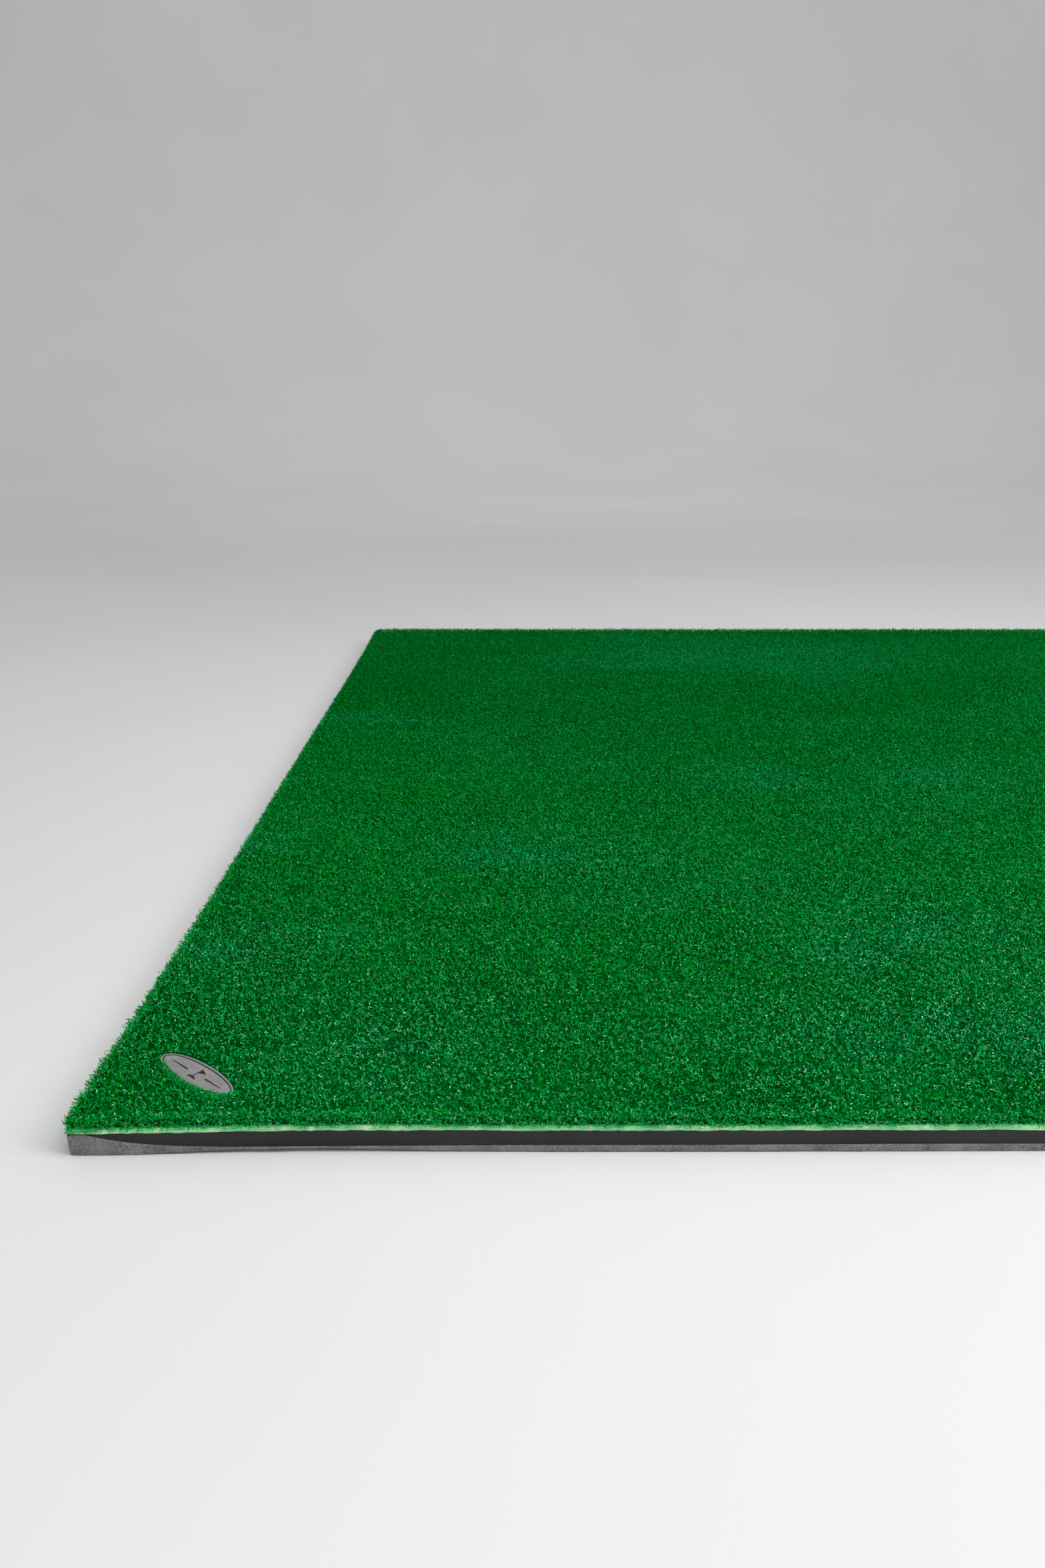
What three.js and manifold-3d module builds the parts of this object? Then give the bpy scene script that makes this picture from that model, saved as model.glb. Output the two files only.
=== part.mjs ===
// Golf hitting mat: a black foam slab with a sheet of crimped artificial turf glued on top and an oval
// badge sunk in the pile near one corner. Millimetres, +Z up. The origin is at the centre of the mat, on
// the surface that it lies on. The front edge faces -Y and the badge's corner is at -X, -Y.

import * as THREE from "three";
import { mergeVertices } from "three/addons/utils/BufferGeometryUtils.js";
import Module from "manifold-3d";

// The mat as a whole.
const MAT_SIZE = 1500;
const GAP = 0.3; // left between pieces that are glued together

// Thicknesses of the layers, from the floor up.
const BASE_THICKNESS = 15;
const GLUE_THICKNESS = 0.4;
const COATING_THICKNESS = 0.8;
const BACKING_THICKNESS = 0.9;
const PILE_HEIGHT = 9.7;

// The knife that trimmed the front edge left the foot of the foam standing proud as a ledge.
const LEDGE_DEPTH = 2;
const LEDGE_HEIGHT = 4;

// The badge.
const BADGE_LENGTH = 70;
const BADGE_WIDTH = 22;
const BADGE_THICKNESS = 1.6;
const BADGE_TURN = THREE.MathUtils.degToRad(-38);
const BADGE_FROM_LEFT = 67;
const BADGE_FROM_FRONT = 46;
const BADGE_BELOW_PILE = 0.8;
const BADGE_PAD_THICKNESS = 0.7;
const BADGE_PAD_MARGIN = 3;
const BADGE_RECESS_MARGIN = 1;
const BORDER_INSET = 1.6;
const BORDER_WIDTH = 0.9;
const PRINT_THICKNESS = 0.3;
const OVAL_STEPS = 48;

const HALF = MAT_SIZE / 2;

// Heights at which each layer starts.
const GLUE_Z = BASE_THICKNESS + GAP;
const COATING_Z = GLUE_Z + GLUE_THICKNESS + GAP;
const BACKING_Z = COATING_Z + COATING_THICKNESS + GAP;
const PILE_Z = BACKING_Z + BACKING_THICKNESS + GAP;
const PILE_TOP = PILE_Z + PILE_HEIGHT;

// Heights in the badge, from its printed marks down to the floor of its recess in the pile.
const PLATE_Z = PILE_TOP - BADGE_BELOW_PILE - BADGE_THICKNESS;
const PRINT_Z = PLATE_Z + BADGE_THICKNESS + GAP;
const PAD_Z = PLATE_Z - GAP - BADGE_PAD_THICKNESS;
const RECESS_Z = PAD_Z - GAP;

const COLOURS = {
  foam: 0x2b2b2c,
  glue: 0xa9a58b,
  coating: 0x9fb48c,
  backing: 0x7fae68,
  pile: 0x0b7d2e,
  plate: 0x878484,
  print: 0x232323,
};

const wasm = await Module();
wasm.setup();

const material = (color, roughness) => new THREE.MeshStandardMaterial({ color, roughness, metalness: 0 });

function named(name, geometry, finish) {
  const mesh = new THREE.Mesh(geometry, finish);
  mesh.name = name;
  return mesh;
}

// A three.js geometry as a manifold solid, and back.
function toSolid(geometry) {
  const bare = geometry.index ? geometry.toNonIndexed() : geometry.clone();
  bare.deleteAttribute("normal");
  bare.deleteAttribute("uv");
  const merged = mergeVertices(bare);
  return new wasm.Manifold(
    new wasm.Mesh({
      numProp: 3,
      vertProperties: new Float32Array(merged.attributes.position.array),
      triVerts: new Uint32Array(merged.index.array),
    })
  );
}

function toGeometry(solid) {
  const { vertProperties, triVerts } = solid.getMesh();
  const geometry = new THREE.BufferGeometry();
  geometry.setAttribute("position", new THREE.BufferAttribute(vertProperties, 3));
  geometry.setIndex(new THREE.BufferAttribute(triVerts, 1));
  geometry.computeVertexNormals();
  return geometry;
}

// A flat piece of a given outline, standing on height z.
function plate(outline, z, thickness, curveSegments = OVAL_STEPS / 2) {
  const extrusion = { depth: thickness, bevelEnabled: false, curveSegments };
  return new THREE.ExtrudeGeometry(outline, extrusion).translate(0, 0, z);
}

function oval(length, width) {
  const shape = new THREE.Shape();
  shape.absellipse(0, 0, length / 2, width / 2, 0, 2 * Math.PI, false, 0);
  return shape;
}

// A layer of the turf. It is cut back with the foam's trimmed face, so the ledge shows in front of it.
function layer(z, thickness, frontSetback = LEDGE_DEPTH) {
  const depth = MAT_SIZE - frontSetback;
  return new THREE.BoxGeometry(MAT_SIZE, depth, thickness).translate(0, frontSetback / 2, z + thickness / 2);
}

// The foam slab is its cross-section in YZ, run along X.
function foamBase() {
  const section = new THREE.Shape([
    new THREE.Vector2(-HALF, 0),
    new THREE.Vector2(HALF, 0),
    new THREE.Vector2(HALF, BASE_THICKNESS),
    new THREE.Vector2(-HALF + LEDGE_DEPTH, BASE_THICKNESS),
    new THREE.Vector2(-HALF + LEDGE_DEPTH, LEDGE_HEIGHT),
    new THREE.Vector2(-HALF, LEDGE_HEIGHT),
  ]);
  const geometry = new THREE.ExtrudeGeometry(section, { depth: MAT_SIZE, bevelEnabled: false });
  const alongX = new THREE.Matrix4().makeBasis(
    new THREE.Vector3(0, 1, 0),
    new THREE.Vector3(0, 0, 1),
    new THREE.Vector3(1, 0, 0)
  );
  return geometry.applyMatrix4(alongX).translate(-HALF, 0, 0);
}

// Places something at the badge: turned about Z and moved to the badge's centre.
function atBadge(object) {
  object.rotation.z = BADGE_TURN;
  object.position.set(-HALF + BADGE_FROM_LEFT, -HALF + BADGE_FROM_FRONT, 0);
  return object;
}

// The pile is the space that the tufts fill, with a recess where they are pressed down under the badge.
function turfPile() {
  const spare = 1; // the cutter stands this far above the pile, so that it cuts clean through the top
  const outline = oval(BADGE_LENGTH + 2 * BADGE_RECESS_MARGIN, BADGE_WIDTH + 2 * BADGE_RECESS_MARGIN);
  const place = atBadge(new THREE.Object3D());
  place.updateMatrix();
  const cutter = plate(outline, RECESS_Z, PILE_TOP - RECESS_Z + spare).applyMatrix4(place.matrix);
  return toGeometry(toSolid(layer(PILE_Z, PILE_HEIGHT, 0)).subtract(toSolid(cutter)));
}

function badgeBorder() {
  const outline = oval(BADGE_LENGTH - 2 * BORDER_INSET, BADGE_WIDTH - 2 * BORDER_INSET);
  const inner = BORDER_INSET + BORDER_WIDTH;
  outline.holes.push(oval(BADGE_LENGTH - 2 * inner, BADGE_WIDTH - 2 * inner));
  return plate(outline, PRINT_Z, PRINT_THICKNESS);
}

// The mark in the middle of the badge: a plain flag on a pole over a low mound.
function badgeFlag() {
  const halfPole = 0.45;
  const ground = -4.5;
  const top = 5.5;
  const flagLength = 5.5;
  const flagHeight = 4.2;
  const halfMound = 4.5;
  const moundTop = ground + 2;
  const curveSteps = 6;
  const shape = new THREE.Shape();
  shape.moveTo(-halfMound, ground);
  shape.lineTo(halfMound, ground);
  shape.quadraticCurveTo(halfMound / 2, moundTop, halfPole, moundTop);
  shape.lineTo(halfPole, top - flagHeight);
  shape.lineTo(halfPole + flagLength, top - flagHeight / 2);
  shape.lineTo(halfPole, top);
  shape.lineTo(-halfPole, top);
  shape.lineTo(-halfPole, moundTop);
  shape.quadraticCurveTo(-halfMound / 2, moundTop, -halfMound, ground);
  return plate(shape, PRINT_Z, PRINT_THICKNESS, curveSteps);
}

// A tapered bar beside the flag, pointing out along the badge: side is -1 or 1.
function badgeBar(side) {
  const near = 9;
  const far = 25;
  const nearHalf = 0.7;
  const farHalf = 0.25;
  const points = [
    new THREE.Vector2(side * near, -nearHalf),
    new THREE.Vector2(side * far, -farHalf),
    new THREE.Vector2(side * far, farHalf),
    new THREE.Vector2(side * near, nearHalf),
  ];
  return plate(new THREE.Shape(points), PRINT_Z, PRINT_THICKNESS);
}

const plateOutline = oval(BADGE_LENGTH, BADGE_WIDTH);
const padOutline = oval(BADGE_LENGTH - 2 * BADGE_PAD_MARGIN, BADGE_WIDTH - 2 * BADGE_PAD_MARGIN);

const badge = atBadge(new THREE.Group());
badge.add(
  named("badge_glue_pad", plate(padOutline, PAD_Z, BADGE_PAD_THICKNESS), material(COLOURS.glue, 0.5)),
  named("badge_plate", plate(plateOutline, PLATE_Z, BADGE_THICKNESS), material(COLOURS.plate, 0.6)),
  named("badge_border_line", badgeBorder(), material(COLOURS.print, 0.5)),
  named("badge_flag_mark", badgeFlag(), material(COLOURS.print, 0.5)),
  named("badge_bar_left", badgeBar(-1), material(COLOURS.print, 0.5)),
  named("badge_bar_right", badgeBar(1), material(COLOURS.print, 0.5))
);

const mat = new THREE.Group();
mat.add(
  named("foam_base", foamBase(), material(COLOURS.foam, 0.85)),
  named("glue_film", layer(GLUE_Z, GLUE_THICKNESS), material(COLOURS.glue, 0.5)),
  named("latex_coating", layer(COATING_Z, COATING_THICKNESS), material(COLOURS.coating, 0.8)),
  named("primary_backing", layer(BACKING_Z, BACKING_THICKNESS), material(COLOURS.backing, 0.9)),
  named("turf_pile", turfPile(), material(COLOURS.pile, 0.6)),
  badge
);

export default mat;
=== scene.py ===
import math

import bpy
import numpy as np
from mathutils import Matrix, Vector


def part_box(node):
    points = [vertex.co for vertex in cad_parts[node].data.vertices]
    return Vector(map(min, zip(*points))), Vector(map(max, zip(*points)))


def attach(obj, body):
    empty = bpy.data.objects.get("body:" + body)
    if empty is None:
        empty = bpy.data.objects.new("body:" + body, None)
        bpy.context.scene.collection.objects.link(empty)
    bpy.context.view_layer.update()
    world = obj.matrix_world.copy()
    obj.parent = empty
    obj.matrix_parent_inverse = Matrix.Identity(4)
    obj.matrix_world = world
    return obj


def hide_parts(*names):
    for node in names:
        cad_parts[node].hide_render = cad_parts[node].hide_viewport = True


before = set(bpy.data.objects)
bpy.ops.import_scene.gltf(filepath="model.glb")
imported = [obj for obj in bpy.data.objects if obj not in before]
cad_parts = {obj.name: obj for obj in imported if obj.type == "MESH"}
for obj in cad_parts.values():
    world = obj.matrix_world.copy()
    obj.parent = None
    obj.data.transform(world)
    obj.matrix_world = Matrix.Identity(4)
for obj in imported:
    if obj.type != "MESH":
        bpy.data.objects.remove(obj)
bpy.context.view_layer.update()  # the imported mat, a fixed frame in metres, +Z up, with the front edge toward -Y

bl_info = {
    "name": "Golf hitting mat",
    "version": (1, 0, 0),
    "blender": (4, 5, 0),
    "location": "View3D > Sidebar > Hitting mat",
    "description": "Builds the foam, the turf and the badge of a golf hitting mat around its frame",
    "category": "Object",
}

MM = 0.001
BODY = "root"

FOAM_LOW, FOAM_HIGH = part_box("foam_base")
COAT_LOW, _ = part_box("latex_coating")
CLOTH_LOW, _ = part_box("primary_backing")
PILE_LOW, PILE_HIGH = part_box("turf_pile")
PLATE_LOW, PLATE_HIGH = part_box("badge_plate")
PAD_LOW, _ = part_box("badge_glue_pad")

LEFT, FRONT = PILE_LOW.x, PILE_LOW.y
RIGHT, BACK = PILE_HIGH.x, PILE_HIGH.y
SIDE = RIGHT - LEFT
CORNERS = np.array([(LEFT, FRONT), (RIGHT, FRONT), (RIGHT, BACK), (LEFT, BACK)])
OUTWARD = np.array([(0, -1), (1, 0), (0, 1), (-1, 0)])  # from the front, right, back and left sides

BADGE_MIDDLE = (PLATE_LOW + PLATE_HIGH) / 2
BADGE_TURN = math.radians(-38)


def oval_axes(low, high, turn):
    """The half length and half width of the oval that fills that box when it is turned."""
    c, s = math.cos(turn) ** 2, math.sin(turn) ** 2
    wide, deep = ((high.x - low.x) / 2) ** 2, ((high.y - low.y) / 2) ** 2
    return math.sqrt((wide * c - deep * s) / (c - s)), math.sqrt((deep * c - wide * s) / (c - s))


BADGE_REACH, BADGE_BREADTH = oval_axes(PLATE_LOW, PLATE_HIGH, BADGE_TURN)


# ---------------------------------------------------------------- settings


def colour_setting(name, description, default):
    return bpy.props.FloatVectorProperty(
        name=name, description=description, default=default, subtype="COLOR", size=3
    )


def length_setting(name, description, default):
    return bpy.props.FloatProperty(name=name, description=description, default=default, unit="LENGTH")


class TurfSettings(bpy.types.PropertyGroup):
    """The pile of crimped yarn."""

    per_square_metre: bpy.props.IntProperty(
        name="Fibres per square metre",
        description="How many fibres reach the top of the pile",
        default=275000,
        min=1000,
    )
    under_per_square_metre: bpy.props.IntProperty(
        name="Under-fibres per square metre",
        description="How many shorter fibres fill in below them",
        default=255000,
        min=1000,
    )
    fibre_width: length_setting("Fibre width", "Width of one ribbon of yarn", 0.84 * MM)
    fibre_reach: length_setting("Fibre reach", "How far a fibre's tip curls away from its root", 1.75 * MM)
    fibre_rise: length_setting("Fibre rise", "How far a fibre stands above the pile's dark bed", 3.8 * MM)
    yarn: colour_setting("Yarn", "Main colour of the yarn", (0.001, 0.37, 0.044))
    # This colour paints the pale teal that lit, shiny yarn shows: painted sheen, not a dye.
    painted_sheen: colour_setting("Gleam", "Pale teal that shiny and worn yarn tends to", (0.03, 0.78, 0.4))
    # Pale is the near-white of frayed ends, and also the painted highlight of glints and lighter tips.
    pale: colour_setting("Pale", "Near-white green of frayed ends and bright bends", (0.4, 1.0, 0.6))
    leaf: colour_setting("Leaf", "Yellower green of some of the yarn", (0.003, 0.38, 0.024))
    # Painted shade: the dark green of the bed deep in the pile.
    shade: colour_setting("Shade", "Colour deep in the pile", (0.0, 0.12, 0.012))


class FoamSettings(bpy.types.PropertyGroup):
    """The foam slab."""

    skin: colour_setting("Skin", "Colour of the foam's rough skin", (0.175, 0.175, 0.175))
    cut: colour_setting("Cut", "Colour of the face left by the knife", (0.0068, 0.0068, 0.0071))
    cut_depth: length_setting("Cut depth", "How far the trimmed face lies behind the ledge", 1.5 * MM)


class BadgeSettings(bpy.types.PropertyGroup):
    """The badge."""

    plate: colour_setting("Plate", "Colour of the plate", (0.25, 0.245, 0.245))
    ink: colour_setting("Ink", "Colour of the printed line and marks", (0.005, 0.005, 0.005))
    tilt: bpy.props.FloatProperty(
        name="Tilt",
        description="How much the badge's right end dips into the pile",
        default=math.radians(0.8),
        subtype="ANGLE",
    )


# ---------------------------------------------------------------- shaders


class Value:
    """A number socket in an expression. Each operation adds a Math node."""

    def __init__(self, tree, socket):
        self.tree = tree
        self.socket = socket

    def math(self, operation, *others, first=None):
        node = self.tree.nodes.new("ShaderNodeMath")
        node.operation = operation
        values = [self if first is None else first, *others]
        for slot, value in zip(node.inputs, values):
            if isinstance(value, Value):
                self.tree.links.new(value.socket, slot)
            else:
                slot.default_value = value
        return Value(self.tree, node.outputs[0])

    def __add__(self, other):
        return self.math("ADD", other)

    __radd__ = __add__

    def __mul__(self, other):
        return self.math("MULTIPLY", other)

    __rmul__ = __mul__

    def __sub__(self, other):
        return self.math("SUBTRACT", other)

    def __rsub__(self, other):
        return self.math("SUBTRACT", self, first=other)

    def between(self, low, high):
        """0 below low, 1 above high and smooth between them."""
        node = self.tree.nodes.new("ShaderNodeMapRange")
        node.interpolation_type = "SMOOTHSTEP"
        self.tree.links.new(self.socket, node.inputs["Value"])
        node.inputs["From Min"].default_value = low
        node.inputs["From Max"].default_value = high
        return Value(self.tree, node.outputs["Result"])


class Finish:
    """A material under construction, with one Principled shader."""

    def __init__(self, name, **plain):
        self.material = bpy.data.materials.new(name)
        self.material.use_nodes = True
        self.tree = self.material.node_tree
        self.shader = self.tree.nodes["Principled BSDF"]
        for socket, value in plain.items():
            slot = self.shader.inputs[socket.replace("_", " ")]
            slot.default_value = (*value, 1) if hasattr(value, "__len__") and len(value) == 3 else value
        self.place = self.node("ShaderNodeTexCoord", "Object")

    def node(self, kind, output, settings=None, **inputs):
        """A node of that type: its settings first, then the values or links of its sockets.

        A socket goes by its name with _ for each space, or by _ and its number.
        """
        node = self.tree.nodes.new(kind)
        for key, value in (settings or {}).items():
            setattr(node, key, value)
        for key, value in inputs.items():
            slot = node.inputs[int(key[1:])] if key[0] == "_" else node.inputs[key.replace("_", " ")]
            if isinstance(value, Value):
                self.tree.links.new(value.socket, slot)
            elif isinstance(value, bpy.types.NodeSocket):
                self.tree.links.new(value, slot)
            else:
                slot.default_value = value
        return node.outputs[output]

    def stretched(self, x, y, z):
        """Object coordinates, scaled differently along each axis."""
        settings = {"operation": "MULTIPLY"}
        return self.node("ShaderNodeVectorMath", 0, settings, _0=self.place, _1=(x, y, z))

    def noise(self, scale, detail=3.0, vector=None, distortion=0.0):
        """Cloudy noise from 0 to 1, with that many features to the metre."""
        vector = self.place if vector is None else vector
        inputs = {"Vector": vector, "Scale": scale, "Detail": detail, "Distortion": distortion}
        return Value(self.tree, self.node("ShaderNodeTexNoise", "Fac", **inputs))

    def cells(self, scale):
        """The distance from the nearest of many random points, in cells."""
        socket = self.node("ShaderNodeTexVoronoi", "Distance", Vector=self.place, Scale=scale)
        return Value(self.tree, socket)

    def mix(self, factor, a, b):
        """Colour a where factor is 0 and b where it is 1."""
        a, b = ((*c, 1) if isinstance(c, (tuple, list)) and len(c) == 3 else c for c in (a, b))
        return self.node("ShaderNodeMix", 2, {"data_type": "RGBA"}, _0=factor, _6=a, _7=b)

    def feed(self, socket, value):
        """Links the value to that socket of the shader."""
        link = value.socket if isinstance(value, Value) else value
        self.tree.links.new(link, self.shader.inputs[socket])

    def bump(self, height, strength, distance):
        """Makes the surface uneven: distance is the height in metres of a bump from 0 to 1."""
        normal = self.node("ShaderNodeBump", "Normal", Height=height, Strength=strength, Distance=distance)
        self.feed("Normal", normal)


def scaled(colour, share):
    """The colour made that much lighter or darker."""
    return tuple(min(1.0, c * share) for c in colour)


def foam_skin(settings):
    """The rough grey skin of closed-cell foam, pitted and scuffed, with dust in its pores."""
    finish = Finish("foam_skin", Roughness=0.8)
    mottle = finish.noise(60, 5)
    grain = finish.noise(1900, 3)
    coarse = finish.noise(800, 2)
    shade = (mottle * 0.3 + grain * 0.5 + coarse * 0.3).between(0.45, 0.66)
    colour = finish.mix(shade, scaled(settings.skin, 0.5), scaled(settings.skin, 1.55))
    dust = 1 - finish.cells(560).between(0.06, 0.2)
    finish.feed("Base Color", finish.mix(dust * 0.6, colour, (0.45, 0.45, 0.44)))
    finish.feed("Roughness", mottle * 0.2 + 0.65)
    finish.bump(grain * 0.55 + coarse * 0.45, 0.8, 0.5 * MM)
    return finish.material


def foam_cut(settings):
    """The smooth dark face that a knife leaves, with drag lines, fine cells and a little dust."""
    finish = Finish("foam_cut", Roughness=0.5)
    drag = finish.noise(1, 4, finish.stretched(6, 6, 1600))
    mottle = finish.noise(26, 3)
    grain = finish.noise(1700, 2)
    shade = (drag * 0.3 + mottle * 0.3 + grain * 0.4).between(0.32, 0.72)
    colour = finish.mix(shade, scaled(settings.cut, 0.35), scaled(settings.cut, 1.9))
    patch = finish.noise(7, 2).between(0.45, 0.66)
    speck = (1 - finish.cells(900).between(0.07, 0.24)) * (patch * 0.8 + 0.2)
    finish.feed("Base Color", finish.mix(speck, colour, (0.09, 0.09, 0.09)))
    finish.feed("Roughness", drag * 0.25 + 0.45)
    finish.bump(drag * 0.5 + grain * 0.5, 0.4, 0.25 * MM)
    return finish.material


def cut_cloth(name, colour, pale, dark):
    """The cut edge of cloth, coating or glue: pale, streaked and uneven along its length."""
    finish = Finish(name, Roughness=0.7)
    blotch = finish.noise(70, 4)
    thread = finish.noise(900, 2)
    shade = (blotch * 0.7 + thread * 0.3).between(0.38, 0.66)
    base = finish.mix(shade, dark, colour)
    finish.feed("Base Color", finish.mix(finish.noise(150, 3).between(0.55, 0.75), base, pale))
    finish.feed("Roughness", thread * 0.3 + 0.5)
    finish.bump(thread, 0.6, 0.3 * MM)
    return finish.material


def pile_bed(settings):
    """The yarn deep in the pile: specks and short dashes of green on a dark green that is painted shade."""
    finish = Finish("pile_bed", Roughness=0.8, Specular_IOR_Level=0.0)
    speck = finish.noise(760, 2, distortion=1.5)
    dash = finish.noise(1, 2, finish.stretched(1300, 420, 700), 2.0)
    cross = finish.noise(1, 2, finish.stretched(420, 1300, 700), 2.0)
    patch = finish.noise(9, 3)
    shade = (speck * 0.4 + dash * 0.3 + cross * 0.3 + patch * 0.15).between(0.46, 0.68)
    finish.feed("Base Color", finish.mix(shade, scaled(settings.shade, 0.25), scaled(settings.shade, 2.2)))
    finish.feed("Roughness", speck * 0.3 + 0.6)
    finish.bump(shade, 1.0, 1.2 * MM)
    return finish.material


# The yarn comes in a few close shades. A fibre has one of them, picked by where it stands, and is darker
# towards its root as painted shade; lighter tips and glints are painted light. Each entry is how much of the
# yarn, painted sheen, leaf and pale colours it mixes, its roughness and its gloss.
YARN_SHADES = {
    # root is painted shade low in the pile; emerald_dark is the yarn's darker tone and also painted shade.
    "root": ((0.3, 0.0, 0.0, 0.0), 0.7, 0.0),
    "emerald_dark": ((0.55, 0.0, 0.0, 0.0), 0.5, 0.0),
    "emerald": ((1.0, 0.0, 0.0, 0.0), 0.45, 0.0),
    "emerald_light": ((1.0, 0.1, 0.0, 0.1), 0.4, 0.0),
    "teal": ((0.7, 0.2, 0.0, 0.0), 0.4, 0.0),
    "teal_light": ((0.5, 0.4, 0.0, 0.12), 0.3, 0.2),
    "leaf": ((0.0, 0.0, 1.0, 0.0), 0.45, 0.0),
    # A near-white painted highlight for fibre tips, on a glossy shader.
    "glossy_painted_glint": ((0.0, 0.1, 0.0, 0.9), 0.22, 0.55),
    "fringe": ((0.6, 0.14, 0.7, 0.0), 0.45, 0.0),
    "pale": ((0.2, 0.3, 0.0, 0.6), 0.5, 0.3),
}
SHADE_INDEX = {name: i for i, name in enumerate(YARN_SHADES)}
SHEEN_TINT = (0.85, 1.0, 0.95)


def yarn_materials(settings):
    """The yarn's shades, in the order of YARN_SHADES."""
    dyes = np.array([settings.yarn[:], settings.painted_sheen[:], settings.leaf[:], settings.pale[:]])
    materials = []
    for name, (shares, roughness, gloss) in YARN_SHADES.items():
        colour = tuple(float(c) for c in np.clip(np.array(shares) @ dyes, 0, 0.9))
        plain = {"Base_Color": colour, "Roughness": roughness, "Specular_IOR_Level": gloss}
        materials.append(Finish("yarn_" + name, **plain, Specular_Tint=SHEEN_TINT).material)
    return materials


def badge_plate_finish(settings):
    """Dull grey metal, mottled and lightly scuffed."""
    finish = Finish("badge_plate", Roughness=0.5)
    mottle = finish.noise(260, 4)
    cloud = finish.noise(45, 2)
    shade = (mottle * 0.6 + cloud * 0.4).between(0.35, 0.65)
    colour = finish.mix(shade, scaled(settings.plate, 0.86), scaled(settings.plate, 1.14))
    scuff = finish.noise(1, 3, finish.stretched(120, 900, 120)).between(0.62, 0.8)
    finish.feed("Base Color", finish.mix(scuff * 0.35, colour, (0.5, 0.5, 0.49)))
    finish.feed("Roughness", mottle * 0.3 + 0.38)
    finish.bump(mottle, 0.35, 0.15 * MM)
    return finish.material


def badge_ink_finish(settings):
    """Near-black ink, worn thin in places."""
    finish = Finish("badge_ink", Roughness=0.45)
    wear = finish.noise(700, 3)
    shade = wear.between(0.4, 0.75)
    finish.feed("Base Color", finish.mix(shade, settings.ink[:], scaled(settings.ink, 4)))
    finish.feed("Roughness", wear * 0.3 + 0.35)
    return finish.material


def glue_pad_finish():
    """Cloudy yellowish glue."""
    finish = Finish("glue_pad", Roughness=0.4)
    shade = finish.noise(300, 3).between(0.3, 0.7)
    finish.feed("Base Color", finish.mix(shade, (0.3, 0.28, 0.2), (0.5, 0.47, 0.36)))
    return finish.material


# ---------------------------------------------------------------- meshes


def add_mesh(name, points, faces, materials, tints=None, smooth=True):
    """A mesh object from an array of points and a list of arrays of faces.

    All the faces in one array have the same number of corners. tints has a material number for each face.
    """
    mesh = bpy.data.meshes.new(name)
    mesh.vertices.add(len(points))
    mesh.vertices.foreach_set("co", np.asarray(points, np.float32).ravel())
    loops = np.concatenate([group.ravel() for group in faces])
    sizes = np.concatenate([np.full(len(group), group.shape[1]) for group in faces])
    mesh.loops.add(len(loops))
    mesh.loops.foreach_set("vertex_index", loops.astype(np.int32))
    mesh.polygons.add(len(sizes))
    mesh.polygons.foreach_set("loop_start", np.concatenate([[0], np.cumsum(sizes)[:-1]]).astype(np.int32))
    if tints is not None:
        mesh.polygons.foreach_set("material_index", np.asarray(tints, np.int32))
    mesh.polygons.foreach_set("use_smooth", np.full(len(sizes), smooth))
    mesh.update(calc_edges=True)
    mesh.validate()
    for material in materials:
        mesh.materials.append(material)
    piece = bpy.data.objects.new(name, mesh)
    bpy.context.scene.collection.objects.link(piece)
    return piece


def fit_to_frame(piece, node):
    """The piece rides on the mat and stands for that CAD node, which is hidden."""
    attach(piece, BODY)
    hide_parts(node)


def unit(v):
    """The same directions at length 1."""
    return v / np.maximum(np.linalg.norm(v, axis=-1, keepdims=True), 1e-12)


def cell_and_part(place):
    """Which cell each place is in, and how far through it, eased at both ends."""
    cell = np.floor(place).astype(int)
    part = place - cell
    return cell, part * part * (3 - 2 * part)


def wander(along, length, seed):
    """A smooth random number from -1 to 1 that changes over about the given length."""
    count, spare = 4096, 1000
    draws = np.random.default_rng(seed).uniform(-1, 1, count)
    cell, part = cell_and_part(np.asarray(along) / length + spare)
    return draws[cell % count] * (1 - part) + draws[(cell + 1) % count] * part


def patches(x, y, size_x, size_y, seed):
    """A smooth random field from -1 to 1 over the mat, with patches of about that size."""
    count, spare = 64, 20
    draws = np.random.default_rng(seed).uniform(-1, 1, (count, count))
    column, across = cell_and_part(x / size_x + spare)
    row, up = cell_and_part(y / size_y + spare)
    left, right = column % count, (column + 1) % count
    low, high = row % count, (row + 1) % count
    lower = draws[left, low] * (1 - across) + draws[right, low] * across
    upper = draws[left, high] * (1 - across) + draws[right, high] * across
    return lower * (1 - up) + upper * up


class Outline:
    """Points round the edge of the mat, anticlockwise from the front left corner.

    inward is the direction into the mat at each point, side and along say which side it is on and how far
    along it, to_corner is the distance to the nearest corner and round the distance run since the start.
    Points are closer together near the corners.
    """

    def __init__(self, steps, crowding):
        t = np.linspace(-1, 1, steps, endpoint=False)
        t = ((1 - crowding) * t + crowding * np.sin(t * math.pi / 2) + 1) / 2
        points, inward = [], []
        for start, end in zip(CORNERS, np.roll(CORNERS, -1, axis=0)):
            points.append(start + t[:, None] * (end - start))
            direction = unit(end - start)
            # Near a corner the way in turns towards the diagonal, so that rings moved inwards never cross.
            inward.append(np.array([-direction[1], direction[0]]) + (1 - 2 * t)[:, None] * direction)
        self.points = np.concatenate(points)
        self.inward = np.concatenate(inward)
        self.side = np.repeat(np.arange(4), steps)
        self.along = np.tile(t * SIDE, 4)
        self.to_corner = np.minimum(self.along, SIDE - self.along)
        self.round = self.along + self.side * SIDE


def bow(side, along):
    """How far the trimmed edge lies in from a straight line, that far along a side.

    It stands out at every corner but the back left one, which is worn.
    """
    round_mat = along + side * SIDE
    middle = 1 - np.exp(-((np.minimum(along, SIDE - along) / 0.11) ** 2))
    worn_corner = 9 * np.exp(-np.abs(round_mat - 3 * SIDE) / 0.014)
    return ((4.2 + 0.9 * wander(round_mat, 0.31, 5)) * middle + worn_corner) * MM


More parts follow.
